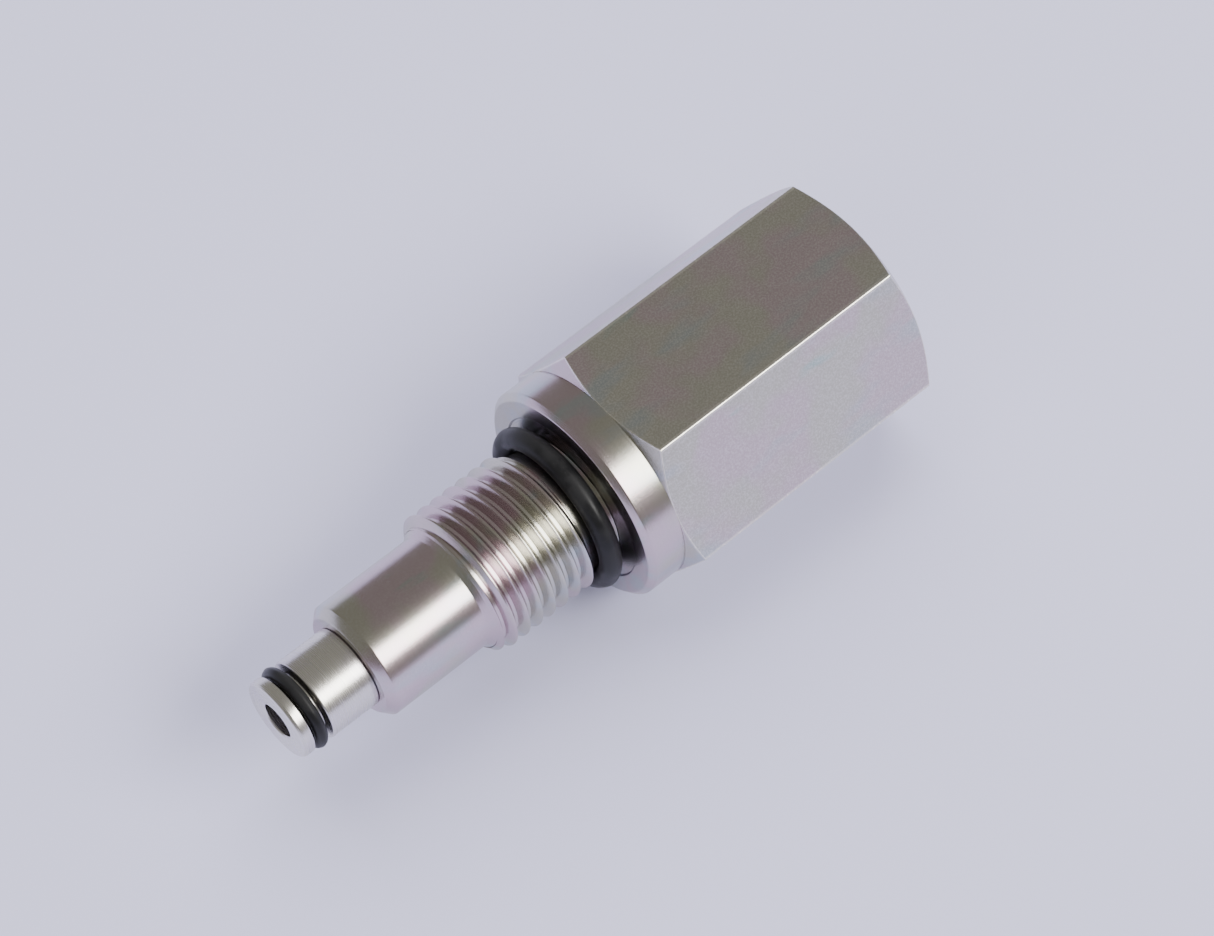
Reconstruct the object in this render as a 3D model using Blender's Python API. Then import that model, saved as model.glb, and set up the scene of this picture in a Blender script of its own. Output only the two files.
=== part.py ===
"""Screw-in cartridge relief valve, lying on one hex flat: nose at -X, hex end at +X, +Z up.

The origin is below the middle of the valve, on the surface that it lies on. Metres.
"""

import math

import bmesh
import bpy
from mathutils import Matrix, Vector

MM = 0.001

# Driving dimensions. Stations run along the axis from the nose's front face; radii are about the axis.
OVERALL_LENGTH = 58.1 * MM
HEX_ACROSS_FLATS = 19.05 * MM
COLLAR_RADIUS = 9.5 * MM
FRONT_SECTION_RADIUS = 5.035 * MM
NOSE_RADIUS = 3.5 * MM
THREAD_MAJOR_RADIUS = 6.3 * MM
THREAD_PITCH = 1.27 * MM
THREAD_DEPTH = 0.75 * MM
NECK_RADIUS = 5.45 * MM
INLET_RADIUS = 1.5 * MM
SIDE_PORT_RADIUS = 1.5 * MM

NOSE_GROOVE = (0.95 * MM, 2.65 * MM)
SHOULDER = 7.1 * MM
SHOULDER_CHAMFER = 0.7 * MM
THREAD_START = 16.65 * MM
THREAD_END = 26.5 * MM
COLLAR_FACE = 29.31 * MM
HEX_FRONT = 32.63 * MM
SEAT = 12.0 * MM
SIDE_PORT = 14.6 * MM
SPRING_CHAMBER = 23.4 * MM
PLUG_BORE = 41.6 * MM
RECESS_FLOOR = 48.5 * MM

POPPET_BORE_RADIUS = 3.3 * MM
CHAMBER_RADIUS = 4.1 * MM
PLUG_BORE_RADIUS = 6.05 * MM
RECESS_RADIUS = 7.0 * MM
SEALING_LAND_RADIUS = 7.35 * MM
SCREW_RADIUS = 2.95 * MM
LOCK_NUT_ACROSS_FLATS = 10.0 * MM

RUNNING_GAP = 0.06 * MM
REST_GAP = 0.05 * MM

AXIS_HEIGHT = HEX_ACROSS_FLATS / 2
CHAMFER_30 = math.tan(math.radians(30))
POPPET_SLOPE = math.tan(math.radians(30))
STEPS = 24

# Colour, roughness and metallic value of each finish.
FINISHES = {
    "plated_steel": ((0.55, 0.53, 0.50), 0.32, 1.0),
    "seat_steel": ((0.62, 0.60, 0.57), 0.25, 1.0),
    "hard_steel": ((0.45, 0.45, 0.46), 0.25, 1.0),
    "spring_steel": ((0.32, 0.31, 0.30), 0.35, 1.0),
    "nut_steel": ((0.60, 0.59, 0.55), 0.35, 1.0),
    "seal_rubber": ((0.015, 0.015, 0.017), 0.50, 0.0),
    "backup_plastic": ((0.75, 0.72, 0.62), 0.45, 0.0),
}


def clear_scene():
    for old in list(bpy.data.objects):
        bpy.data.objects.remove(old, do_unlink=True)


def finish_material(name):
    if name in bpy.data.materials:
        return bpy.data.materials[name]
    colour, roughness, metallic = FINISHES[name]
    made = bpy.data.materials.new(name)
    made.use_nodes = True
    shader = made.node_tree.nodes["Principled BSDF"]
    shader.inputs["Base Color"].default_value = (*colour, 1)
    shader.inputs["Roughness"].default_value = roughness
    shader.inputs["Metallic"].default_value = metallic
    return made


def add_object(name, shape, finish, station=0.0):
    """Puts a bmesh, made about the X axis with its own zero, at a station of the valve's axis."""
    bmesh.ops.remove_doubles(shape, verts=shape.verts, dist=1e-7)
    bmesh.ops.recalc_face_normals(shape, faces=shape.faces)
    mesh = bpy.data.meshes.new(name)
    shape.to_mesh(mesh)
    shape.free()
    mesh.shade_smooth()
    mesh.set_sharp_from_angle(angle=math.radians(35))
    made = bpy.data.objects.new(name, mesh)
    made.location = (station - OVERALL_LENGTH / 2, 0, AXIS_HEIGHT)
    bpy.context.scene.collection.objects.link(made)
    mesh.materials.append(finish_material(finish))
    return made


def make_cutter(made):
    made.hide_render = True
    made.display_type = "WIRE"
    return made


def turned(outline, steps=STEPS, turn=2 * math.pi, start=0.0):
    """A closed outline of (station, radius) points, swept round the X axis. Part turns get flat end faces."""
    shape = bmesh.new()
    ring = [shape.verts.new((x, 0, r)) for x, r in outline]
    edges = [shape.edges.new((a, b)) for a, b in zip(ring, ring[1:] + ring[:1])]
    whole = turn > 2 * math.pi - 1e-6
    bmesh.ops.rotate(shape, verts=ring, matrix=Matrix.Rotation(start, 3, "X"))
    if whole:
        bmesh.ops.spin(shape, geom=ring + edges, axis=(1, 0, 0), cent=(0, 0, 0), angle=turn, steps=steps)
    else:
        face = shape.faces.new(ring)
        bmesh.ops.spin(shape, geom=[face, *ring, *edges], axis=(1, 0, 0), cent=(0, 0, 0), angle=turn, steps=steps)
    bmesh.ops.remove_doubles(shape, verts=shape.verts, dist=1e-7)
    bmesh.ops.dissolve_degenerate(shape, edges=shape.edges, dist=1e-8)
    bmesh.ops.delete(shape, geom=[e for e in shape.edges if e.is_wire], context="EDGES")
    return shape


def seal_ring(centre_radius, section_radius, steps=STEPS, sides=6):
    """A round-section ring about the X axis."""
    circle = []
    for i in range(sides):
        angle = 2 * math.pi * i / sides
        circle.append((section_radius * math.cos(angle), centre_radius + section_radius * math.sin(angle)))
    return turned(circle, steps)


def flat_ring(inner, outer, length, steps=STEPS, bevel=0.0):
    """A washer or a square-section ring, with its outer edges broken by bevel."""
    outline = [(0, inner), (0, outer - bevel), (bevel, outer), (length - bevel, outer), (length, outer - bevel)]
    if bevel == 0:
        outline = [(0, inner), (0, outer), (length, outer)]
    return turned([*outline, (length, inner)], steps)


def hex_prism(across_flats, length):
    """A six-sided bar along X with one flat up and one down."""
    shape = bmesh.new()
    radius = across_flats / math.sqrt(3)
    corners = [(radius * math.cos(math.radians(a)), radius * math.sin(math.radians(a))) for a in range(0, 360, 60)]
    face = shape.faces.new([shape.verts.new((0, y, z)) for y, z in corners])
    pulled = bmesh.ops.extrude_face_region(shape, geom=[face])
    bmesh.ops.translate(
        shape, verts=[v for v in pulled["geom"] if isinstance(v, bmesh.types.BMVert)], vec=(length, 0, 0)
    )
    return shape


def cut(body, tool, operation="DIFFERENCE"):
    step = body.modifiers.new(tool.name, "BOOLEAN")
    step.operation = operation
    step.object = make_cutter(tool)
    return body


def threaded_bar():
    """The port thread as one closed bar: a helical net of points under the cone of the thread's two ends."""
    segments = 28
    profile = ((0.0, THREAD_DEPTH), (0.14, THREAD_DEPTH), (0.46, 0.0), (0.68, 0.0))
    lead_in = THREAD_START
    run_out = THREAD_END
    root = THREAD_MAJOR_RADIUS - THREAD_DEPTH
    entry_radius = FRONT_SECTION_RADIUS - REST_GAP
    run_out_radius = NECK_RADIUS + REST_GAP
    first = int(lead_in / THREAD_PITCH) - 2
    last = int(run_out / THREAD_PITCH) + 2

    def envelope(x):
        """The largest radius at a station: 45-degree lead-in, short run-out towards the neck."""
        entry = entry_radius + (x - lead_in) * 1.15
        leaving = run_out_radius + (run_out - x) * 1.2
        return min(THREAD_MAJOR_RADIUS, entry, leaving)

    shape = bmesh.new()
    rows = []
    for turn in range(first, last):
        for share, depth in profile:
            row = []
            for i in range(segments + 1):
                x = (turn + share + i / segments) * THREAD_PITCH
                x_kept = min(max(x, lead_in), run_out)
                radius = min(THREAD_MAJOR_RADIUS - depth, envelope(x_kept))
                if x_kept == lead_in:
                    radius = entry_radius
                elif x_kept == run_out:
                    radius = run_out_radius
                else:
                    radius = max(radius, min(root, envelope(x_kept)))
                angle = 2 * math.pi * i / segments
                row.append(shape.verts.new((x_kept, radius * math.cos(angle), radius * math.sin(angle))))
            rows.append(row)
    for low, high in zip(rows, rows[1:]):
        for i in range(segments):
            corners = (low[i], low[i + 1], high[i + 1], high[i])
            if len({c.co.to_tuple(8) for c in corners}) > 2:
                shape.faces.new(corners)
    bmesh.ops.remove_doubles(shape, verts=shape.verts, dist=1e-7)
    bmesh.ops.dissolve_degenerate(shape, edges=shape.edges, dist=1e-8)
    bmesh.ops.delete(shape, geom=[v for v in shape.verts if not v.link_faces], context="VERTS")
    bmesh.ops.holes_fill(shape, edges=[e for e in shape.edges if e.is_boundary], sides=0)
    return shape


def make_valve_body():
    """Hex, collar, neck, port thread and front section in one piece, bored through from the hex end."""
    hex_rear_chamfer = 0.9 * MM
    corner_radius = HEX_ACROSS_FLATS / math.sqrt(3)
    hex_length = OVERALL_LENGTH - HEX_FRONT
    body = add_object("valve_body", hex_prism(HEX_ACROSS_FLATS, hex_length), "plated_steel", HEX_FRONT)

    front_radius = COLLAR_RADIUS + REST_GAP
    rear_radius = corner_radius - hex_rear_chamfer / CHAMFER_30
    spare = 0.2 * MM
    turned_hex = turned(
        [
            (-spare, 0),
            (-spare, front_radius - spare / CHAMFER_30),
            ((corner_radius + spare - front_radius) * CHAMFER_30, corner_radius + spare),
            (hex_length - (corner_radius + spare - rear_radius) * CHAMFER_30, corner_radius + spare),
            (hex_length + spare, rear_radius - spare / CHAMFER_30),
            (hex_length + spare, 0),
        ],
        steps=36,
    )
    cut(body, add_object("hex_turning", turned_hex, "plated_steel", HEX_FRONT), "INTERSECT")

    collar = turned(
        [
            (THREAD_END - 0.4 * MM, 0),
            (THREAD_END - 0.4 * MM, NECK_RADIUS),
            (COLLAR_FACE + 0.15 * MM, NECK_RADIUS),
            (COLLAR_FACE + 0.15 * MM, SEALING_LAND_RADIUS),
            (COLLAR_FACE, SEALING_LAND_RADIUS),
            (COLLAR_FACE, COLLAR_RADIUS - 0.5 * MM),
            (COLLAR_FACE + 0.45 * MM, COLLAR_RADIUS),
            (HEX_FRONT + 0.3 * MM, COLLAR_RADIUS),
            (HEX_FRONT + 0.8 * MM, COLLAR_RADIUS - 0.5 * MM),
            (HEX_FRONT + 0.8 * MM, 0),
        ],
        steps=36,
    )
    cut(body, add_object("collar_turning", collar, "plated_steel"), "UNION")
    cut(body, add_object("thread_turning", threaded_bar(), "plated_steel"), "UNION")

    front = turned(
        [
            (SHOULDER, 0),
            (SHOULDER, FRONT_SECTION_RADIUS - SHOULDER_CHAMFER),
            (SHOULDER + SHOULDER_CHAMFER, FRONT_SECTION_RADIUS),
            (THREAD_START + 0.1 * MM, FRONT_SECTION_RADIUS),
            (THREAD_START + 0.3 * MM, FRONT_SECTION_RADIUS - 0.2 * MM),
            (THREAD_START + 0.3 * MM, 0),
        ],
        steps=28,
    )
    cut(body, add_object("front_turning", front, "plated_steel"), "UNION")

    mouth_chamfer = 0.4 * MM
    beyond = 1.0 * MM
    bore = turned(
        [
            (SHOULDER - beyond, 0),
            (SHOULDER - beyond, POPPET_BORE_RADIUS),
            (SPRING_CHAMBER, POPPET_BORE_RADIUS),
            (SPRING_CHAMBER, CHAMBER_RADIUS),
            (PLUG_BORE, CHAMBER_RADIUS),
            (PLUG_BORE, PLUG_BORE_RADIUS),
            (RECESS_FLOOR, PLUG_BORE_RADIUS),
            (RECESS_FLOOR, RECESS_RADIUS),
            (OVERALL_LENGTH - mouth_chamfer, RECESS_RADIUS),
            (OVERALL_LENGTH + beyond, RECESS_RADIUS + mouth_chamfer + beyond),
            (OVERALL_LENGTH + beyond, 0),
        ]
    )
    cut(body, add_object("body_bore", bore, "plated_steel"))

    side_port = bmesh.new()
    port_length = 6 * MM
    bmesh.ops.create_cone(
        side_port,
        cap_ends=True,
        segments=20,
        radius1=SIDE_PORT_RADIUS,
        radius2=SIDE_PORT_RADIUS,
        depth=port_length,
        matrix=Matrix.Translation(Vector((0, 0, -port_length / 2))),
    )
    cut(body, add_object("side_port_drill", side_port, "plated_steel", SIDE_PORT))
    return body


def make_nose_seat():
    """Nose with its seal groove in front, and a sealed shank that is pressed into the body up to the seat."""
    shank_radius = POPPET_BORE_RADIUS - RUNNING_GAP
    shank_groove = (8.4 * MM, 9.9 * MM)
    outline = [
        (0, INLET_RADIUS + 0.1 * MM),
        (0, NOSE_RADIUS - 0.2 * MM),
        (0.25 * MM, NOSE_RADIUS - 0.07 * MM),
        (NOSE_GROOVE[0], NOSE_RADIUS - 0.07 * MM),
        (NOSE_GROOVE[0], 2.55 * MM),
        (NOSE_GROOVE[1], 2.55 * MM),
        (NOSE_GROOVE[1], NOSE_RADIUS - 0.08 * MM),
        (NOSE_GROOVE[1] + 0.08 * MM, NOSE_RADIUS),
        (SHOULDER - REST_GAP, NOSE_RADIUS),
        (SHOULDER - REST_GAP, shank_radius),
        (shank_groove[0], shank_radius),
        (shank_groove[0], 2.45 * MM),
        (shank_groove[1], 2.45 * MM),
        (shank_groove[1], shank_radius),
        (SEAT, shank_radius),
        (SEAT, INLET_RADIUS),
        (0.1 * MM, INLET_RADIUS),
    ]
    add_object("nose_seat", turned(outline, steps=28), "seat_steel")
    add_object("seat_o_ring", seal_ring(2.87 * MM, 0.36 * MM), "seal_rubber", 8.85 * MM)
    add_object("seat_backup_ring", flat_ring(2.5 * MM, 3.24 * MM, 0.45 * MM), "backup_plastic", 9.35 * MM)


def make_outer_seals():
    """Nose ring, and the port ring that rests loosely in the neck in front of the collar face."""
    add_object("nose_o_ring", seal_ring(3.12 * MM, 0.52 * MM, steps=28, sides=8), "seal_rubber", 1.75 * MM)
    add_object("port_o_ring", seal_ring(6.42 * MM, 0.89 * MM, steps=32, sides=10), "seal_rubber", 27.9 * MM)


def make_poppet():
    """Sixty-degree cone on the seat's edge, waist past the side port, guided land with two balancing grooves."""
    seat_gap = 0.06 * MM
    land_radius = POPPET_BORE_RADIUS - RUNNING_GAP
    tip_radius = 0.6 * MM
    head_radius = 2.6 * MM
    waist_radius = 1.7 * MM
    spigot_radius = 1.6 * MM
    contact = SEAT + seat_gap
    tip = contact - (INLET_RADIUS - tip_radius) / POPPET_SLOPE
    head = contact + (head_radius - INLET_RADIUS) / POPPET_SLOPE
    land_front = 17.4 * MM
    land_rear = SPRING_CHAMBER + 0.1 * MM
    outline = [(tip, 0), (tip, tip_radius), (head, head_radius), (head + 0.4 * MM, head_radius)]
    outline += [(head + 0.9 * MM, waist_radius), (land_front, waist_radius), (land_front, land_radius)]
    for groove in (19.2 * MM, 21.2 * MM):
        floor = land_radius - 0.3 * MM
        outline += [(groove, land_radius), (groove, floor)]
        outline += [(groove + 0.4 * MM, floor), (groove + 0.4 * MM, land_radius)]
    outline += [(land_rear, land_radius), (land_rear, spigot_radius), (26.0 * MM, spigot_radius), (26.0 * MM, 0)]
    add_object("poppet", turned(outline), "hard_steel")

    hub_radius = 2.4 * MM
    flange = 1.0 * MM
    hub_length = 2.05 * MM
    seat_outline = [
        (0, spigot_radius + REST_GAP),
        (0, 3.95 * MM),
        (flange, 3.95 * MM),
        (flange, hub_radius),
        (hub_length, hub_radius),
        (hub_length, spigot_radius + REST_GAP),
    ]
    add_object("front_spring_seat", turned(seat_outline), "hard_steel", land_rear + REST_GAP)


def make_main_spring():
    """Compression spring of round wire with a closed turn at each end."""
    front = 24.62 * MM
    rear = 38.0 * MM
    wire_radius = 0.6 * MM
    coil_radius = 3.1 * MM
    turns = 8
    end_turns = 1.0
    per_turn = 12
    closed_pitch = 2 * wire_radius + 0.08 * MM
    first = front + wire_radius
    travel = rear - front - 2 * wire_radius
    open_pitch = (travel - 2 * end_turns * closed_pitch) / (turns - 2 * end_turns)

    guide = bpy.data.curves.new("main_spring", "CURVE")
    guide.dimensions = "3D"
    guide.bevel_depth = wire_radius
    guide.bevel_resolution = 1
    guide.use_fill_caps = True
    wire = guide.splines.new("POLY")
    count = turns * per_turn + 1
    wire.points.add(count - 1)
    for i in range(count):
        turn = i / per_turn
        closed_front = min(turn, end_turns)
        closed_rear = max(turn - (turns - end_turns), 0)
        x = first + (closed_front + closed_rear) * closed_pitch
        x += (turn - closed_front - closed_rear) * open_pitch
        angle = 2 * math.pi * turn
        wire.points[i].co = (x, coil_radius * math.cos(angle), coil_radius * math.sin(angle), 1)
    made = bpy.data.objects.new("main_spring", guide)
    made.location = (-OVERALL_LENGTH / 2, 0, AXIS_HEIGHT)
    guide.materials.append(finish_material("spring_steel"))
    bpy.context.scene.collection.objects.link(made)


def make_spring_button():
    """Two shims, the rear spring seat with its ball pocket, and the thrust ball."""
    shim_thickness = 0.3 * MM
    for number in (1, 2):
        station = 38.05 * MM + (number - 1) * (shim_thickness + REST_GAP)
        add_object(f"preload_shim_{number}", flat_ring(2.55 * MM, 3.9 * MM, shim_thickness), "spring_steel", station)

    flange_front = 38.75 * MM
    flange_rear = 40.25 * MM
    button_radius = CHAMBER_RADIUS - RUNNING_GAP - 0.01 * MM
    pocket_radius = 1.6 * MM
    pocket_floor = 39.35 * MM
    outline = [
        (36.6 * MM, 0),
        (36.6 * MM, 2.1 * MM),
        (36.9 * MM, 2.4 * MM),
        (flange_front, 2.4 * MM),
        (flange_front, button_radius),
        (flange_rear, button_radius),
        (flange_rear, pocket_radius),
        (pocket_floor, pocket_radius),
        (pocket_floor, 0),
    ]
    add_object("rear_spring_seat", turned(outline), "hard_steel")

    ball_radius = 1.5 * MM
    ball = bmesh.new()
    bmesh.ops.create_uvsphere(ball, u_segments=16, v_segments=10, radius=ball_radius)
    add_object("thrust_ball", ball, "hard_steel", pocket_floor + REST_GAP + ball_radius)


def make_end_plug():
    """Threaded plug, sealed in the body, that carries the adjusting screw. Its rear face has two spanner slots."""
    front = PLUG_BORE + REST_GAP
    rear = RECESS_FLOOR - REST_GAP
    outer = PLUG_BORE_RADIUS - REST_GAP
    groove = (43.35 * MM, 45.15 * MM)
    groove_floor = 5.0 * MM
    head_room = (44.05 * MM, 3.7 * MM)
    seal_bore = (46.7 * MM, 3.05 * MM)
    thread_bore = SCREW_RADIUS + REST_GAP
    outline = [
        (front, head_room[1]),
        (front, outer),
        (groove[0], outer),
        (groove[0], groove_floor),
        (groove[1], groove_floor),
        (groove[1], outer),
        (rear, outer),
        (rear, thread_bore),
        (seal_bore[0], thread_bore),
        (seal_bore[0], seal_bore[1]),
        (head_room[0], seal_bore[1]),
        (head_room[0], head_room[1]),
    ]
    plug = add_object("end_plug", turned(outline), "nut_steel")
    slot_width, slot_depth, slot_root = 1.3 * MM, 1.0 * MM, 3.9 * MM
    for side in (1, -1):
        tool = bmesh.new()
        size = Vector((2 * slot_depth, 4 * MM, slot_width))
        place = Vector((rear, side * (slot_root + size.y / 2), 0))
        bmesh.ops.create_cube(tool, size=1, matrix=Matrix.Translation(place) @ Matrix.Diagonal((*size, 1)))
        cut(plug, add_object(f"spanner_slot_{'left' if side > 0 else 'right'}", tool, "nut_steel"))
    add_object("end_plug_o_ring", seal_ring(5.52 * MM, 0.46 * MM), "seal_rubber", 43.9 * MM)
    add_object("end_plug_backup_ring", flat_ring(5.05 * MM, 5.98 * MM, 0.55 * MM), "backup_plastic", 44.5 * MM)


def make_adjusting_screw():
    """Captive screw: head with ball pocket in front, sealed shank, hex socket in its rear end."""
    front = 41.6 * MM
    head_rear = 43.0 * MM
    groove = (44.2 * MM, 45.7 * MM)
    rear = 53.1 * MM
    end_chamfer = 0.5 * MM
    outline = [
        (42.45 * MM, 0),
        (42.45 * MM, 1.6 * MM),
        (front, 1.6 * MM),
        (front, 3.4 * MM),
        (front + 0.2 * MM, 3.6 * MM),
        (head_rear, 3.6 * MM),
        (head_rear, SCREW_RADIUS),
        (groove[0], SCREW_RADIUS),
        (groove[0], 2.2 * MM),
        (groove[1], 2.2 * MM),
        (groove[1], SCREW_RADIUS),
        (rear - end_chamfer, SCREW_RADIUS),
        (rear, SCREW_RADIUS - end_chamfer),
        (rear, 0),
    ]
    screw = add_object("adjusting_screw", turned(outline), "hard_steel")
    socket_depth = 3.0 * MM
    socket = hex_prism(3.0 * MM, 2 * socket_depth)
    cut(screw, add_object("screw_socket", socket, "hard_steel", rear - socket_depth))
    add_object("adjuster_o_ring", seal_ring(2.62 * MM, 0.36 * MM), "seal_rubber", 44.65 * MM)
    add_object("adjuster_backup_ring", flat_ring(2.25 * MM, 2.99 * MM, 0.5 * MM), "backup_plastic", 45.12 * MM)


def make_lock():
    """Split lock washer and a thin hex nut, down in the recess of the hex end."""
    washer_front = RECESS_FLOOR
    washer_thickness = 0.7 * MM
    washer = [
        (0, SCREW_RADIUS + 0.1 * MM),
        (0, 4.95 * MM),
        (washer_thickness, 4.95 * MM),
        (washer_thickness, SCREW_RADIUS + 0.1 * MM),
    ]
    split = math.radians(14)
    add_object("lock_washer", turned(washer, STEPS, 2 * math.pi - split, split / 2), "spring_steel", washer_front)

    nut_front = washer_front + washer_thickness + REST_GAP
    nut_length = 3.0 * MM
    corner_radius = LOCK_NUT_ACROSS_FLATS / math.sqrt(3)
    chamfer = (corner_radius - LOCK_NUT_ACROSS_FLATS / 2) * CHAMFER_30
    spare = 0.2 * MM
    nut = add_object("lock_nut", hex_prism(LOCK_NUT_ACROSS_FLATS, nut_length), "nut_steel", nut_front)
    turned_nut = turned(
        [
            (0, SCREW_RADIUS + REST_GAP + 0.3 * MM),
            (0, LOCK_NUT_ACROSS_FLATS / 2 - 0.2 * MM),
            (chamfer + spare, corner_radius + spare),
            (nut_length - chamfer - spare, corner_radius + spare),
            (nut_length, LOCK_NUT_ACROSS_FLATS / 2 - 0.2 * MM),
            (nut_length, SCREW_RADIUS + REST_GAP + 0.3 * MM),
            (nut_length - 0.3 * MM, SCREW_RADIUS + REST_GAP),
            (0.3 * MM, SCREW_RADIUS + REST_GAP),
        ]
    )
    cut(nut, add_object("nut_turning", turned_nut, "nut_steel", nut_front), "INTERSECT")


clear_scene()
make_valve_body()
make_nose_seat()
make_outer_seals()
make_poppet()
make_main_spring()
make_spring_button()
make_end_plug()
make_adjusting_screw()
make_lock()
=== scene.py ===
"""Screw-in cartridge relief valve, lying on one flat of its hexagon: nose at -X, hexagon end at +X.

Stations run along the valve's axis from the nose's front face. Stations and radii are millimetres.
"""

import math

import bmesh
import bpy
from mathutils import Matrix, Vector


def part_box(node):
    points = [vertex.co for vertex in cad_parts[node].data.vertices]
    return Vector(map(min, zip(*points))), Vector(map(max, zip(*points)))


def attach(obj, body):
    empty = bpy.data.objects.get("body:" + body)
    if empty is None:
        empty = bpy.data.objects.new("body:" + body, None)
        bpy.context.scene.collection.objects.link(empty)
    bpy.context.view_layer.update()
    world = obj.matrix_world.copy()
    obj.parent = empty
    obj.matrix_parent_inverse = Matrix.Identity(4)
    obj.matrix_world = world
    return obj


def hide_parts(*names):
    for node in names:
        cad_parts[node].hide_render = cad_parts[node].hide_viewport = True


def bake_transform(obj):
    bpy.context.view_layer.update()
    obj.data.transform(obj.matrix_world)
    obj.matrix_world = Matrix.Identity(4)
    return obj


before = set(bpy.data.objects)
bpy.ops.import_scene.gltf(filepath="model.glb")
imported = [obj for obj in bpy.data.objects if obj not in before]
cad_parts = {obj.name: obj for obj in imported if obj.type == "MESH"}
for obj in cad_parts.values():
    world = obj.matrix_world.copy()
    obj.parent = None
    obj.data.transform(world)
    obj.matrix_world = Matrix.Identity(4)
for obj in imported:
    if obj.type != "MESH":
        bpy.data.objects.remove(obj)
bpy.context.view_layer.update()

# Stage: the valve lies on a sheet of pale paper in soft studio light. A wide window of light above its near
# side draws the bright bands along the round parts, and lamps that the metal doesn't mirror light the paper.
MM = 0.001
CAMERA_PLACE = (-0.10589, -0.11860, 0.28780)
CAMERA_TURN = (30.175, -0.703, -41.613)
CAMERA_LENS = 123.07
CAMERA_SENSOR = 36
PAPER_SIZE = 4.0
PAPER_DROP = 0.02
PAPER_COLOUR = (0.61, 0.61, 0.86)
CEILING_COLOUR = (0.285, 0.278, 0.255)
VALVE_MIDDLE = Vector((0, 0, 0.0095))

bpy.ops.object.select_all(action="DESELECT")
bpy.ops.object.camera_add(location=CAMERA_PLACE, rotation=[math.radians(turn) for turn in CAMERA_TURN])
camera = bpy.context.object
camera.name = "camera"
camera.data.lens = CAMERA_LENS
camera.data.sensor_width = CAMERA_SENSOR
camera.data.clip_start = 0.01
bpy.context.scene.camera = camera

world = bpy.data.worlds.new("studio")
bpy.context.scene.world = world
world.use_nodes = True
world.node_tree.nodes["Background"].inputs["Color"].default_value = (*CEILING_COLOUR, 1)
world.node_tree.nodes["Background"].inputs["Strength"].default_value = 1.0


def studio_lamp(name, direction, distance, size, power, colour, mirrored):
    """A rectangular lamp that faces the valve from a direction. Metal shows it only if it is mirrored."""
    place = VALVE_MIDDLE + distance * Vector(direction).normalized()
    bpy.ops.object.light_add(type="AREA", location=place)
    lamp = bpy.context.object
    lamp.name = name
    lamp.rotation_euler = (VALVE_MIDDLE - place).to_track_quat("-Z", "Y").to_euler()
    lamp.data.shape = "RECTANGLE"
    lamp.data.size, lamp.data.size_y = size
    lamp.data.energy = power
    lamp.data.color = colour
    lamp.visible_glossy = mirrored
    return lamp


studio_lamp("window", (0.322, -0.638, 0.698), 0.9, (0.62, 0.42), 9.5, (1.0, 0.985, 0.95), True)
studio_lamp("paper_lamp", (0.25, 0.45, 0.86), 1.3, (1.6, 1.6), 26, (1.0, 0.99, 1.0), False)
studio_lamp("side_lamp", (-0.85, -0.2, 0.5), 1.3, (1.0, 1.0), 5, (1.0, 0.99, 1.0), False)


class Field:
    """A number or colour on its way through a finish. Python's operators on numbers add Math nodes."""

    def __init__(self, finish, socket):
        self.finish = finish
        self.socket = socket

    def __add__(self, other):
        return self.finish.maths("ADD", self, other)

    def __radd__(self, other):
        return self.finish.maths("ADD", other, self)

    def __sub__(self, other):
        return self.finish.maths("SUBTRACT", self, other)

    def __rsub__(self, other):
        return self.finish.maths("SUBTRACT", other, self)

    def __mul__(self, other):
        return self.finish.maths("MULTIPLY", self, other)

    def __rmul__(self, other):
        return self.finish.maths("MULTIPLY", other, self)

    def __truediv__(self, other):
        return self.finish.maths("DIVIDE", self, other)

    def __abs__(self):
        return self.finish.maths("ABSOLUTE", self)

    def least(self, other):
        return self.finish.maths("MINIMUM", self, other)

    def most(self, other):
        return self.finish.maths("MAXIMUM", self, other)


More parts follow.
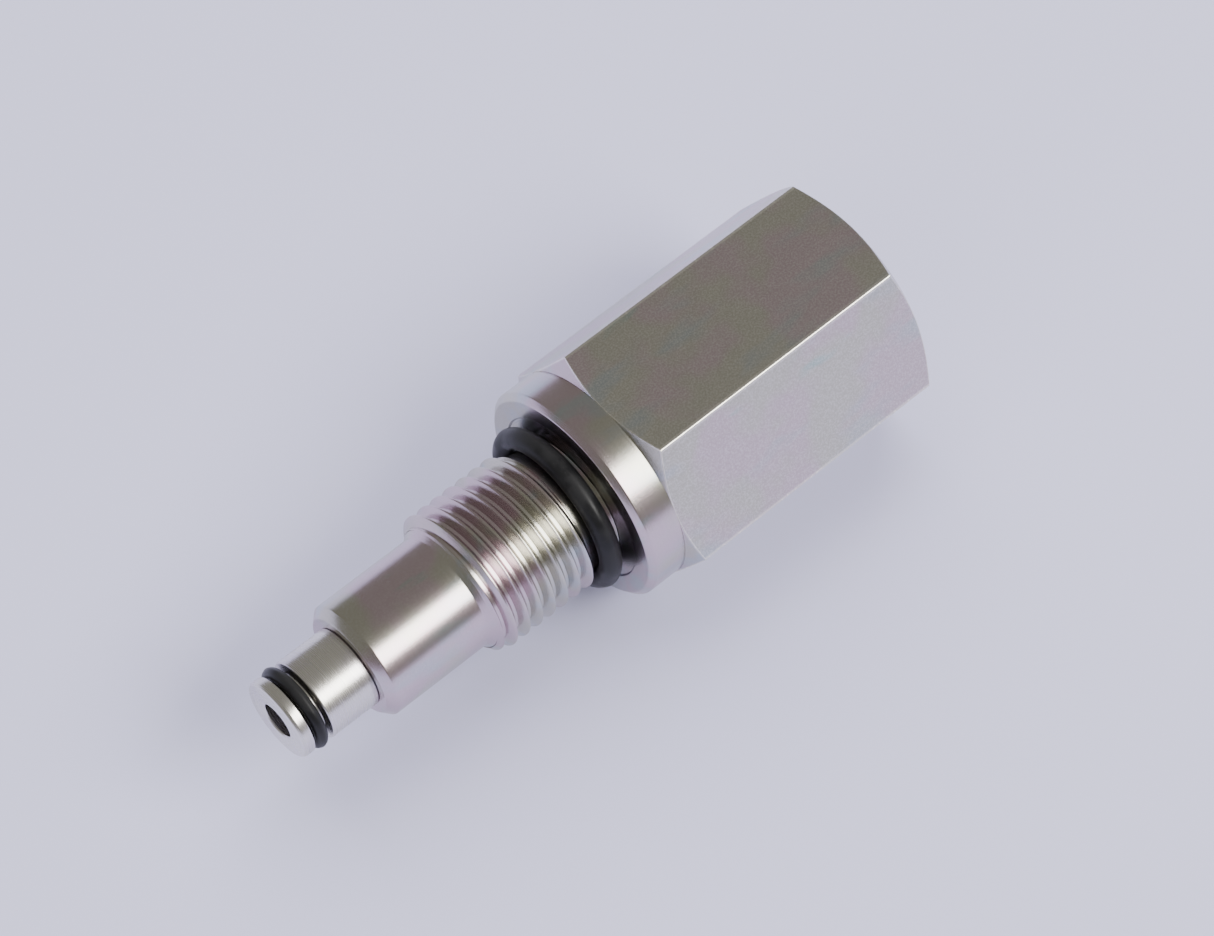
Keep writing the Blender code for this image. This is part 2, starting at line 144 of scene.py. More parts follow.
class Finish:
    """A surface finish: one Principled shader and the nodes that vary it from place to place on a piece."""

    def __init__(self, name, **constants):
        self.material = bpy.data.materials.new(name)
        self.material.use_nodes = True
        self.tree = self.material.node_tree
        self.shader = self.tree.nodes["Principled BSDF"]
        for socket, value in constants.items():
            self.shader.inputs[socket.replace("_", " ")].default_value = value

    def feed(self, socket, value):
        if isinstance(value, Field):
            self.tree.links.new(value.socket, socket)
        else:
            socket.default_value = value

    def node(self, kind, settings=(), sockets=(), output=0):
        """Adds a node: its own settings first, then what its sockets hold, and gives one of its outputs."""
        made = self.tree.nodes.new("ShaderNode" + kind)
        for setting, value in dict(settings).items():
            setattr(made, setting, value)
        for socket, value in dict(sockets).items():
            self.feed(made.inputs[socket], value)
        return Field(self, made.outputs[output])

    def maths(self, operation, *values):
        return self.node("Math", {"operation": operation}, enumerate(values))

    def blend(self, share, low, high):
        """Mixes two colours, low where share is 0 and high where it is 1."""
        sides = {0: share}
        for index, colour in ((6, low), (7, high)):
            sides[index] = colour if isinstance(colour, Field) else (*colour, 1)
        return self.node("Mix", {"data_type": "RGBA"}, sides, output=2)

    def rise(self, value, low, high):
        """A smooth step: 0 below low, 1 above high."""
        settings = {"interpolation_type": "SMOOTHSTEP"}
        return self.node("MapRange", settings, {"Value": value, "From Min": low, "From Max": high})

    def places(self):
        """A place in millimetres: station, across and up from the valve's axis, and radius about it."""
        spot = self.node("TexCoord", output="Object")
        x, y, z = (self.node("SeparateXYZ", sockets={0: spot}, output=axis) for axis in range(3))
        station = (x - NOSE_FACE) * 1000
        across = y * 1000
        up = (z - AXIS_HEIGHT) * 1000
        radius = self.maths("SQRT", across * across + up * up)
        return station, across, up, radius

    def point(self, x, y, z):
        return self.node("CombineXYZ", sockets={0: x, 1: y, 2: z})

    def noise(self, place, scale, detail=2.0, roughness=0.5):
        sockets = {"Vector": place, "Scale": scale, "Detail": detail, "Roughness": roughness}
        return self.node("TexNoise", sockets=sockets)

    def line_noise(self, place, scale, detail=2.0):
        settings = {"noise_dimensions": "1D"}
        return self.node("TexNoise", settings, {"W": place, "Scale": scale, "Detail": detail})

    def bump(self, height, depth, under=None):
        """A fine relief, depth millimetres high, on top of the one under it."""
        sockets = {"Height": height, "Distance": depth * MM, "Strength": 1.0}
        if under:
            sockets["Normal"] = under
        return self.node("Bump", sockets=sockets)

    def show(self, **fields):
        """Connects what varies to the shader's own sockets, and gives the material."""
        for socket, field in fields.items():
            self.feed(self.shader.inputs[socket.replace("_", " ")], field)
        return self.material


NOSE_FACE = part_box("nose_seat")[0].x
AXIS_HEIGHT = (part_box("valve_body")[0].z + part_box("valve_body")[1].z) / 2

paper = Finish("paper", Roughness=0.75)
paper.shader.inputs["Specular IOR Level"].default_value = 0.2
fibres = paper.noise(paper.node("TexCoord", output="Object"), 60, 4)
paper.show(Base_Color=paper.blend(fibres, [0.985 * c for c in PAPER_COLOUR], PAPER_COLOUR))
bpy.ops.mesh.primitive_plane_add(size=PAPER_SIZE, location=(0, 0, -PAPER_DROP * MM))
floor = bpy.context.object
floor.name = "paper"
floor.data.materials.append(paper.material)

# Valve body: one steel bar, turned to its steps and threaded at the front, its hexagon left from the bar,
# then zinc plated. The lathe leaves fine rings and broken edges; the hexagon's flats keep the bar's grain.
HEX_FLATS = (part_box("valve_body")[1].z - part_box("valve_body")[0].z) / MM
HEX_CORNER_RADIUS = HEX_FLATS / math.sqrt(3)
SHOULDER = (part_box("valve_body")[0].x - NOSE_FACE) / MM
BODY_END = (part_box("valve_body")[1].x - NOSE_FACE) / MM
FRONT_RADIUS = 5.035
THREAD_START = 16.65
THREAD_END = 26.5
THREAD_RADIUS = 6.3
THREAD_ROOT = 5.55
THREAD_PITCH = 1.27
NECK_RADIUS = 5.45
COLLAR_FACE = 29.31
COLLAR_RADIUS = 9.5
COLLAR_EDGE = (0.45, 0.5)
FACE_RELIEF = 0.15
SHOULDER_CHAMFER = 0.7
SEALING_LAND = 7.35
HEX_FACE = 32.63
HEX_FACE_RADIUS = 9.55
HEX_END_RADIUS = 9.44
CHAMFER = math.tan(math.radians(30))
BODY_BORE = 3.3
SPRING_CHAMBER = (23.4, 4.1)
PLUG_BORE = (41.6, 6.05)
RECESS = (48.5, 7.0)
SIDE_PORT = (14.6, 1.5)
SIDES = 144


def at(station, radius=0.0):
    """The point above the valve's axis at a station, in metres."""
    return Vector((NOSE_FACE + station * MM, 0, AXIS_HEIGHT + radius * MM))


def only(piece):
    """Makes a piece the one that is selected and active."""
    bpy.ops.object.select_all(action="DESELECT")
    piece.select_set(True)
    bpy.context.view_layer.objects.active = piece


def soften(corners, steps=4):
    """Rounds each corner that carries a third number, the length its round takes off both sides."""
    outline = []
    for index, corner in enumerate(corners):
        here = Vector(corner[:2])
        if len(corner) == 2:
            outline.append(here)
            continue
        before = Vector(corners[index - 1][:2]) - here
        after = Vector(corners[(index + 1) % len(corners)][:2]) - here
        start = here + before.normalized() * min(corner[2], 0.48 * before.length)
        end = here + after.normalized() * min(corner[2], 0.48 * after.length)
        for step in range(steps + 1):
            share = step / steps
            outline.append(start.lerp(here, share).lerp(here.lerp(end, share), share))
    return outline


def draw(name, outline, closed):
    """Draws an outline of (station, radius) points as a chain of edges, its origin on the valve's axis."""
    bpy.ops.object.select_all(action="DESELECT")
    bpy.ops.mesh.primitive_circle_add(vertices=3, radius=0.1 * MM, location=at(0))
    piece = bpy.context.object
    piece.name = name
    bpy.ops.object.mode_set(mode="EDIT")
    bpy.ops.mesh.select_mode(type="VERT")
    bpy.ops.mesh.select_all(action="SELECT")
    bpy.ops.mesh.merge(type="CENTER")
    bpy.ops.transform.translate(value=at(*outline[0]) - at(0))
    for last, point in zip(outline, outline[1:]):
        step = at(*point) - at(*last)
        bpy.ops.mesh.extrude_region_move(TRANSFORM_OT_translate={"value": step})
    if closed:
        shape = bmesh.from_edit_mesh(piece.data)
        for vert in shape.verts:
            if len(vert.link_edges) == 1:
                vert.select = True
        bpy.ops.mesh.edge_face_add()
    bpy.ops.mesh.select_all(action="SELECT")
    return piece


def turn(name, outline, closed=False, sides=SIDES):
    """Turns a body from its outline. An open one starts and ends on the axis; a closed one makes a ring."""
    piece = draw(name, outline, closed)
    bpy.ops.mesh.spin(steps=sides, angle=2 * math.pi, center=at(0), axis=(1, 0, 0))
    bpy.ops.mesh.select_all(action="SELECT")
    bpy.ops.mesh.remove_doubles(threshold=0.0005 * MM)
    bpy.ops.mesh.normals_make_consistent(inside=False)
    bpy.ops.object.mode_set(mode="OBJECT")
    bpy.ops.object.transform_apply(location=True, rotation=True, scale=True)
    return piece


def combine(piece, tool, operation):
    """Joins, cuts or trims a piece with another body, which is used up."""
    only(piece)
    step = piece.modifiers.new("combine", "BOOLEAN")
    step.operation = operation
    step.object = tool
    bpy.ops.object.modifier_apply(modifier=step.name)
    bpy.data.objects.remove(tool)
    bpy.ops.object.mode_set(mode="EDIT")
    bpy.ops.mesh.select_all(action="SELECT")
    bpy.ops.mesh.remove_doubles(threshold=0.0004 * MM)
    bpy.ops.mesh.select_all(action="SELECT")
    bpy.ops.mesh.dissolve_degenerate(threshold=0.0002 * MM)
    bpy.ops.object.mode_set(mode="OBJECT")


def hexagon(name, flats, start, end, edge_round):
    """A six-sided bar with a flat on top, between two stations, its long edges rounded."""
    bpy.ops.object.select_all(action="DESELECT")
    bpy.ops.mesh.primitive_cylinder_add(
        vertices=6,
        radius=flats / math.sqrt(3) * MM,
        depth=(end - start) * MM,
        location=at((start + end) / 2),
        rotation=(0, math.pi / 2, 0),
    )
    piece = bpy.context.object
    piece.name = name
    bpy.ops.object.transform_apply(location=True, rotation=True, scale=True)
    if edge_round:
        bpy.ops.object.mode_set(mode="EDIT")
        bpy.ops.mesh.select_mode(type="EDGE")
        bpy.ops.mesh.select_all(action="DESELECT")
        shape = bmesh.from_edit_mesh(piece.data)
        for edge in shape.edges:
            along = edge.verts[0].co - edge.verts[1].co
            edge.select = abs(along.x) > 0.9 * along.length
        shape.select_flush_mode()
        bmesh.update_edit_mesh(piece.data)
        bpy.ops.mesh.bevel(offset=edge_round * MM, segments=3, affect="EDGES")
        bpy.ops.object.mode_set(mode="OBJECT")
    return piece


def thread_ridge(name, start, end, pitch, root, crest, crest_flat, steps=130, phase=0.4):
    """One right-handed 60-degree thread ridge from start to past end, turned on by phase degrees."""
    sunk = 0.05
    crest_round = 0.05
    flank = (crest - root) * CHAMFER
    foot = crest_flat / 2 + flank + sunk * CHAMFER
    corners = [
        (start - foot, root - sunk),
        (start - crest_flat / 2, crest, crest_round),
        (start + crest_flat / 2, crest, crest_round),
        (start + foot, root - sunk),
    ]
    piece = draw(name, soften(corners, 2), True)
    bpy.ops.object.mode_set(mode="OBJECT")
    only(piece)
    turns = math.ceil((end - start) / pitch)
    coil = piece.modifiers.new("coil", "SCREW")
    coil.axis = "X"
    coil.screw_offset = pitch * MM
    coil.iterations = turns
    coil.steps = steps
    coil.render_steps = steps
    coil.use_merge_vertices = False
    bpy.ops.object.modifier_apply(modifier=coil.name)
    bpy.ops.object.mode_set(mode="EDIT")
    bpy.ops.mesh.select_mode(type="EDGE")
    bpy.ops.mesh.select_all(action="DESELECT")
    bpy.ops.mesh.select_non_manifold()
    bpy.ops.mesh.fill_holes(sides=0)
    bpy.ops.mesh.select_all(action="SELECT")
    bpy.ops.mesh.normals_make_consistent(inside=False)
    bpy.ops.transform.rotate(value=-math.radians(phase), orient_axis="X", center_override=at(start))
    bpy.ops.object.mode_set(mode="OBJECT")
    bpy.ops.object.transform_apply(location=True, rotation=True, scale=True)
    return piece


def smooth(piece, angle=30):
    """Shades round faces smooth and keeps flat ones flat."""
    only(piece)
    bpy.ops.object.shade_smooth_by_angle(angle=math.radians(angle))
    step = piece.modifiers.new("normals", "WEIGHTED_NORMAL")
    step.keep_sharp = True
    bpy.ops.object.modifier_apply(modifier=step.name)


def place(piece, body, node, finish):
    """Gives a piece its finish, the body it moves with and the solid that it stands for."""
    piece.data.materials.clear()
    piece.data.materials.append(finish)
    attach(piece, body)
    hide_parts(node)


def plated_steel():
    """Bright zinc plate with a thin coloured film: fine rings where it is turned, bar grain on the flats."""
    plate = Finish("plated_steel", Metallic=1.0)
    station, across, up, radius = plate.places()
    spot = plate.point(station, across, up)
    flat_reach = abs(up)
    for side in (1, -1):
        flat_reach = flat_reach.most(abs(0.5 * up + side * math.sin(math.radians(60)) * across))
    below_flat = HEX_FLATS / 2 - flat_reach
    below_front = (station - HEX_FACE) / CHAMFER + HEX_FACE_RADIUS - radius
    below_rear = (BODY_END - station) / CHAMFER + HEX_END_RADIUS - radius
    below_cone = below_front.least(below_rear)
    on_flat = plate.rise(station, HEX_FACE - 0.01, HEX_FACE) * (1 - plate.rise(below_flat, 0.01, 0.04))
    # Masks for the hexagon's edges: the chamfer arcs, which carry no real bevel, and the long corners.
    arc_edge = 1 - plate.rise(below_cone.most(below_flat), 0.04, 0.16)
    long_edge = plate.rise(radius, HEX_CORNER_RADIUS - 0.16, HEX_CORNER_RADIUS - 0.07)
    edge = arc_edge.most(long_edge) * plate.rise(station, HEX_FACE - 0.05, HEX_FACE)

    patches = plate.noise(spot, 0.16, 2)
    drift = plate.noise(plate.point(station * 0.35, across, up), 0.32, 3)
    clouds = plate.noise(spot, 1.1, 4, 0.6)
    grain = plate.noise(spot, 5.5, 3, 0.65)
    sparkle = plate.noise(spot, 13, 1)
    rings = plate.line_noise(station + radius * 1.7, 7, 3)

    warm = (0.50, 0.485, 0.425)
    cool = (0.45, 0.485, 0.50)
    pink = (0.545, 0.44, 0.475)
    teal = (0.39, 0.50, 0.465)
    speckle = plate.rise(plate.noise(spot, 6.5, 2, 0.7), 0.40, 0.66)
    tint = plate.blend(plate.rise(patches, 0.42, 0.58), warm, pink)
    tint = plate.blend(plate.rise(drift, 0.52, 0.70), tint, cool)
    tint = plate.blend(plate.rise(drift, 0.34, 0.24), tint, teal)
    tint = plate.blend(speckle * (0.10 + 0.30 * on_flat), tint, (0.80, 0.79, 0.77))
    nicks = plate.rise(plate.noise(spot, 3.0, 3), 0.56, 0.66)
    # Painted highlight and wear: the hexagon's edges are painted pale gold, partly for wear and partly as a
    # painted highlight standing for the light a broken edge catches.
    wear_and_edge_highlight = edge * (0.55 + 0.45 * nicks)
    colour = plate.blend(wear_and_edge_highlight, tint, (0.92, 0.89, 0.82))
    turned_rough = 0.17 + 0.12 * rings
    flat_rough = 0.27 + 0.12 * clouds
    roughness = turned_rough + on_flat * (flat_rough - turned_rough)
    relief = plate.bump(grain * on_flat + rings * (1 - on_flat) * 0.35, 0.010)
    relief = plate.bump(sparkle, 0.003, relief)
    return plate.show(Base_Color=colour, Roughness=roughness, Normal=relief)


outline = soften(
    [
        (SHOULDER, 0),
        (SHOULDER, FRONT_RADIUS - SHOULDER_CHAMFER, 0.05),
        (SHOULDER + SHOULDER_CHAMFER, FRONT_RADIUS, 0.08),
        (THREAD_START, FRONT_RADIUS, 0.02),
        (THREAD_START + 0.55, THREAD_ROOT),
        (THREAD_END - 0.1, THREAD_ROOT),
        (THREAD_END, NECK_RADIUS),
        (COLLAR_FACE + FACE_RELIEF, NECK_RADIUS, 0.12),
        (COLLAR_FACE + FACE_RELIEF, SEALING_LAND, 0.05),
        (COLLAR_FACE, SEALING_LAND + 0.1, 0.04),
        (COLLAR_FACE, COLLAR_RADIUS - COLLAR_EDGE[1], 0.07),
        (COLLAR_FACE + COLLAR_EDGE[0], COLLAR_RADIUS, 0.1),
        (HEX_FACE + 0.3, COLLAR_RADIUS),
        (HEX_FACE + 0.8, COLLAR_RADIUS - COLLAR_EDGE[1]),
        (HEX_FACE + 0.8, 0),
    ]
)
body = turn("hex_body", outline)

ridge = thread_ridge(
    "ridge", THREAD_START - 1.1, THREAD_END + 1.2, THREAD_PITCH, THREAD_ROOT, THREAD_RADIUS, 0.15
)
thread_form = turn(
    "thread_form",
    [
        (THREAD_START + 0.02, 0),
        (THREAD_START + 0.02, FRONT_RADIUS),
        (THREAD_START + 1.12, THREAD_RADIUS + 0.02),
        (THREAD_END - 0.4, THREAD_RADIUS + 0.02),
        (THREAD_END + 0.05, NECK_RADIUS + 0.1),
        (THREAD_END + 0.05, 0),
    ],
)
combine(ridge, thread_form, "INTERSECT")
combine(body, ridge, "UNION")

bar = hexagon("bar", HEX_FLATS, HEX_FACE - 0.2, BODY_END + 0.2, 0.1)
past = HEX_CORNER_RADIUS + 0.2
bar_form = turn(
    "bar_form",
    [
        (HEX_FACE, 0),
        (HEX_FACE, HEX_FACE_RADIUS),
        (HEX_FACE + (past - HEX_FACE_RADIUS) * CHAMFER, past),
        (BODY_END - (past - HEX_END_RADIUS) * CHAMFER, past),
        (BODY_END, HEX_END_RADIUS),
        (BODY_END, 0),
    ],
    sides=2 * SIDES,
)
combine(bar, bar_form, "INTERSECT")
combine(body, bar, "UNION")

bore = turn(
    "bore",
    soften(
        [
            (SHOULDER - 1, 0),
            (SHOULDER - 1, BODY_BORE),
            (SPRING_CHAMBER[0], BODY_BORE),
            (SPRING_CHAMBER[0], SPRING_CHAMBER[1]),
            (PLUG_BORE[0] - 0.1, SPRING_CHAMBER[1]),
            (PLUG_BORE[0], SPRING_CHAMBER[1] + 0.1),
            (PLUG_BORE[0], PLUG_BORE[1], 0.2),
            (RECESS[0], PLUG_BORE[1]),
            (RECESS[0], RECESS[1], 0.3),
            (BODY_END - 0.4, RECESS[1], 0.06),
            (BODY_END + 0.6, RECESS[1] + 1.0),
            (BODY_END + 0.6, 0),
        ]
    ),
)
combine(body, bore, "DIFFERENCE")

bpy.ops.object.select_all(action="DESELECT")
bpy.ops.mesh.primitive_cylinder_add(
    vertices=48, radius=SIDE_PORT[1] * MM, depth=6 * MM, location=at(SIDE_PORT[0], -3)
)
combine(body, bpy.context.object, "DIFFERENCE")
smooth(body)
place(body, "housing", "valve_body", plated_steel())

# Nose: a separate zinc-plated turning with the inlet hole, the nose seal's groove and, on the shank pressed
# into the body, a second groove and the poppet's seat. Its tip is faced, with a broken edge.
INLET = 1.5
NOSE_RADIUS = 3.5
TIP_RADIUS = 3.43
NOSE_GROOVE = (0.95, 2.65, 2.55)
SHANK_GROOVE = (8.4, 9.9, 2.45)
SHANK_RADIUS = 3.24
SEAT = 12.0


def turned_steel(name, colour, film, rough, ring_scale):
    """Turned or ground steel: fine rings, a film of a second colour in patches, brighter fine scratches."""
    steel = Finish(name, Metallic=1.0)
    station, across, up, radius = steel.places()
    spot = steel.point(station, across, up)
    rings = steel.line_noise(station + radius * 1.7, ring_scale, 3)
    bands = steel.line_noise(station * 1.3 + radius, 1.1, 2)
    patches = steel.noise(steel.point(station * 0.5, across, up), 0.55, 3)
    film_share = steel.rise(patches, 0.40, 0.68) * 0.8 + steel.rise(bands, 0.5, 0.7) * 0.2
    tint = steel.blend(film_share, colour, film)
    scratches = steel.rise(steel.noise(steel.point(station * 6, across, up), 2.2, 2), 0.62, 0.70)
    bright = [min(1.0, 1.25 * c) for c in colour]
    tint = steel.blend(scratches * 0.35, tint, bright)
    roughness = rough + 0.12 * rings + 0.08 * bands - 0.05 * scratches
    relief = steel.bump(rings + scratches * 0.3, 0.004)
    return steel.show(Base_Color=tint, Roughness=roughness, Normal=relief)


seat_steel = turned_steel("seat_steel", (0.70, 0.68, 0.64), (0.66, 0.62, 0.64), 0.17, 9)
hard_steel = turned_steel("hard_steel", (0.47, 0.47, 0.48), (0.40, 0.42, 0.47), 0.14, 12)
spring_steel = turned_steel("spring_steel", (0.34, 0.33, 0.31), (0.27, 0.27, 0.30), 0.28, 5)
nut_steel = turned_steel("nut_steel", (0.66, 0.64, 0.57), (0.60, 0.56, 0.60), 0.22, 6)

outline = soften(
    [
        (0, INLET + 0.12, 0.03),
        (0, TIP_RADIUS - 0.16, 0.08),
        (0.22, TIP_RADIUS, 0.08),
        (NOSE_GROOVE[0], TIP_RADIUS, 0.06),
        (NOSE_GROOVE[0], NOSE_GROOVE[2], 0.2),
        (NOSE_GROOVE[1], NOSE_GROOVE[2], 0.2),
        (NOSE_GROOVE[1], NOSE_RADIUS - 0.08, 0.04),
        (NOSE_GROOVE[1] + 0.1, NOSE_RADIUS, 0.05),
        (SHOULDER - 0.05, NOSE_RADIUS, 0.05),
        (SHOULDER - 0.05, SHANK_RADIUS - 0.1, 0.05),
        (SHOULDER + 0.3, SHANK_RADIUS, 0.05),
        (SHANK_GROOVE[0], SHANK_RADIUS, 0.04),
        (SHANK_GROOVE[0], SHANK_GROOVE[2], 0.12),
        (SHANK_GROOVE[1], SHANK_GROOVE[2], 0.12),
        (SHANK_GROOVE[1], SHANK_RADIUS, 0.04),
        (SEAT, SHANK_RADIUS, 0.12),
        (SEAT, INLET, 0.03),
        (0.12, INLET, 0.03),
    ]
)
nose = turn("nose", outline, closed=True)
smooth(nose)
place(nose, "housing", "nose_seat", seat_steel)

# Seals: moulded black nitrile rings of round section. Each keeps a hair of flash along the mould's joint,
# inside and outside. The port ring lies loose in the neck, a little out of square.
RINGS = {
    "nose_seal": ("housing", "nose_o_ring", 1.75, 3.12, 0.52),
    "port_seal": ("housing", "port_o_ring", 27.9, 6.42, 0.89),
    "seat_seal": ("housing", "seat_o_ring", 8.85, 2.87, 0.36),
    "plug_seal": ("housing", "end_plug_o_ring", 43.9, 5.52, 0.46),
    "adjuster_seal": ("adjusting_screw", "adjuster_o_ring", 44.65, 2.62, 0.36),
}
FLASH = 0.02
FLASH_REACH = 0.12
SEAL_FACETS = 32
PORT_SEAL_LEAN = 1.2


def seal_rubber():
    """Black nitrile, satin where it is moulded, with oil in patches and a little pale dust."""
    rubber = Finish("seal_rubber", IOR=1.52, Specular_IOR_Level=0.22)
    station, across, up, radius = rubber.places()
    spot = rubber.point(station, across, up)
    oil = rubber.rise(rubber.noise(spot, 0.45, 3), 0.42, 0.62)
    skin = rubber.noise(spot, 9, 4, 0.7)
    dust = rubber.rise(rubber.noise(spot, 14, 2), 0.70, 0.76)
    colour = rubber.blend(oil, (0.016, 0.016, 0.017), (0.009, 0.009, 0.010))
    colour = rubber.blend(dust * 0.25, colour, (0.16, 0.16, 0.17))
    roughness = 0.42 - 0.16 * oil + 0.12 * skin
    return rubber.show(Base_Color=colour, Roughness=roughness, Normal=rubber.bump(skin, 0.006))


seal_black = seal_rubber()
for name, (body_name, node, station, ring_radius, section) in RINGS.items():
    outline = []
    for step in range(SEAL_FACETS):
        angle = 2 * math.pi * (step + 0.5) / SEAL_FACETS
        reach = section + (FLASH if abs(math.cos(angle)) < FLASH_REACH else 0)
        outline.append((station + reach * math.cos(angle), ring_radius + reach * math.sin(angle)))
    ring = turn(name, outline, closed=True)
    if name == "port_seal":
        bpy.ops.object.mode_set(mode="EDIT")
        bpy.ops.mesh.select_all(action="SELECT")
        lean = math.radians(PORT_SEAL_LEAN)
        bpy.ops.transform.rotate(value=lean, orient_axis="Z", center_override=at(station))
        bpy.ops.object.mode_set(mode="OBJECT")
    smooth(ring, 60)
    place(ring, body_name, node, seal_black)

# Back-up rings: cream PTFE rings of square section beside the inner seals, cut through on a slant so that
# they open over the piece that they sit on.
BACKUPS = {
    "seat_backup": ("housing", "seat_backup_ring", 9.35, 9.80, 2.5, 3.24),
    "plug_backup": ("housing", "end_plug_backup_ring", 44.5, 45.05, 5.05, 5.98),
    "adjuster_backup": ("adjusting_screw", "adjuster_backup_ring", 45.12, 45.62, 2.25, 2.99),
}
SCARF_SLANT = 55
SCARF_GAP = 0.06
SCARF_LENGTH = 2.5


def backup_plastic():
    """Skived PTFE: waxy cream, with fine cutter lines and a greasy grey where it rubs."""
    plastic = Finish("backup_plastic", Subsurface_Weight=0.1, Subsurface_Scale=0.001)
    station, across, up, radius = plastic.places()
    spot = plastic.point(station, across, up)
    rubbed = plastic.rise(plastic.noise(spot, 0.9, 3), 0.5, 0.7)
    lines = plastic.line_noise(station + radius, 12, 2)
    colour = plastic.blend(rubbed * 0.6, (0.74, 0.70, 0.60), (0.52, 0.50, 0.46))
    relief = plastic.bump(lines, 0.004)
    return plastic.show(Base_Color=colour, Roughness=0.36 + 0.15 * lines, Normal=relief)


def cutter(name, station, across, up, size, slant=0.0):
    """A rectangular tool for slots and slits, leaning in its own plane by slant degrees."""
    bpy.ops.object.select_all(action="DESELECT")
    bpy.ops.mesh.primitive_cube_add(
        size=1,
        location=at(station, up) + Vector((0, across * MM, 0)),
        rotation=(0, 0, math.radians(slant)),
        scale=[side * MM for side in size],
    )
    bpy.context.object.name = name
    return bpy.context.object


backup_cream = backup_plastic()
for name, (body_name, node, front, rear, inner, outer) in BACKUPS.items():
    corners = [(front, inner, 0.03), (front, outer, 0.05), (rear, outer, 0.05), (rear, inner, 0.03)]
    ring = turn(name, soften(corners), closed=True)
    middle = (front + rear) / 2
    slit_size = (SCARF_LENGTH, SCARF_GAP, outer - inner + 0.4)
    slit = cutter("slit", middle, 0, (inner + outer) / 2, slit_size, 90 - SCARF_SLANT)
    combine(ring, slit, "DIFFERENCE")
    smooth(ring)
    place(ring, body_name, node, backup_cream)

# Poppet: hardened and ground steel. Its 60-degree cone shuts on the seat's edge, its land is guided in the
# bore with two balancing grooves, and its spigot carries the front spring seat.
CONE = math.tan(math.radians(30))
CONE_TIP = 0.6
CONE_BASE = 2.6
CONTACT = SEAT + 0.06
CONE_FRONT = CONTACT - (INLET - CONE_TIP) / CONE
WAIST = 1.7
LAND = (17.4, 23.5, 3.24)
SPIGOT = (26.0, 1.6)
BALANCE_GROOVES = (19.2, 21.2)
GROOVE_SIZE = (0.4, 0.3)

cone_end = CONTACT + (CONE_BASE - INLET) / CONE
corners = [
    (CONE_FRONT, 0),
    (CONE_FRONT, CONE_TIP, 0.1),
    (cone_end, CONE_BASE, 0.06),
    (cone_end + 0.4, CONE_BASE, 0.06),
    (cone_end + 0.9, WAIST, 0.3),
    (LAND[0], WAIST, 0.25),
    (LAND[0], LAND[2], 0.12),
]
for groove in BALANCE_GROOVES:
    groove_end = groove + GROOVE_SIZE[0]
    floor_radius = LAND[2] - GROOVE_SIZE[1]
    corners += [(groove, LAND[2], 0.03), (groove, floor_radius, 0.1)]
    corners += [(groove_end, floor_radius, 0.1), (groove_end, LAND[2], 0.03)]
corners += [
    (LAND[1], LAND[2], 0.12),
    (LAND[1], SPIGOT[1], 0.1),
    (SPIGOT[0], SPIGOT[1], 0.2),
    (SPIGOT[0], 0.45, 0.03),
    (SPIGOT[0] - 0.4, 0.2),
    (SPIGOT[0] - 0.5, 0),
]
poppet = turn("relief_poppet", soften(corners))
smooth(poppet)
place(poppet, "poppet", "poppet", hard_steel)

# Front spring seat: a turned ring, hardened and ground, that sits on the poppet's spigot. Its hub keeps the
# spring's first turn central.
SEAT_FLANGE = (1.0, 3.95)
SEAT_HUB = (2.05, 2.4)

seat_front = LAND[1] + 0.05
outline = soften(
    [
        (seat_front, SPIGOT[1] + 0.05, 0.08),
        (seat_front, SEAT_FLANGE[1], 0.15),
        (seat_front + SEAT_FLANGE[0], SEAT_FLANGE[1], 0.15),
        (seat_front + SEAT_FLANGE[0], SEAT_HUB[1], 0.15),
        (seat_front + SEAT_HUB[0], SEAT_HUB[1], 0.3),
        (seat_front + SEAT_HUB[0], SPIGOT[1] + 0.05, 0.12),
    ]
)
spring_seat = turn("spring_seat_ring", outline, closed=True)
smooth(spring_seat)
place(spring_seat, "poppet", "front_spring_seat", hard_steel)

# Main spring: cold-wound wire with a closed turn at each end, ground flat where it bears. It is made as a
# front and a rear half, which meet at mid length.
SPRING = (24.62, 38.0)
WIRE = 0.6
COIL = 3.1
TURNS = 8
POINTS_PER_TURN = 48
CLOSED_PITCH = 2 * WIRE + 0.08

first = SPRING[0] + 0.55 * WIRE
travel = SPRING[1] - SPRING[0] - 1.1 * WIRE
open_pitch = (travel - 2 * CLOSED_PITCH) / (TURNS - 2)
guide = bpy.data.curves.new("spring_wire", "CURVE")
guide.dimensions = "3D"
guide.bevel_depth = WIRE * MM
guide.bevel_resolution = 4
guide.use_fill_caps = True
wire = guide.splines.new("POLY")
wire.points.add(TURNS * POINTS_PER_TURN)
for number, point in enumerate(wire.points):
    turned_by = number / POINTS_PER_TURN
    closed = min(turned_by, 1) + max(turned_by - (TURNS - 1), 0)
    along = first + closed * CLOSED_PITCH + (turned_by - closed) * open_pitch
    angle = 2 * math.pi * turned_by
    place_on_coil = at(along) + COIL * MM * Vector((0, math.cos(angle), math.sin(angle)))
    point.co = (*place_on_coil, 1)
middle = (SPRING[0] + SPRING[1]) / 2
halves = {
    "spring_front": ("poppet", SPRING[0], False),
    "spring_rear": ("spring_button", SPRING[1], True),
}
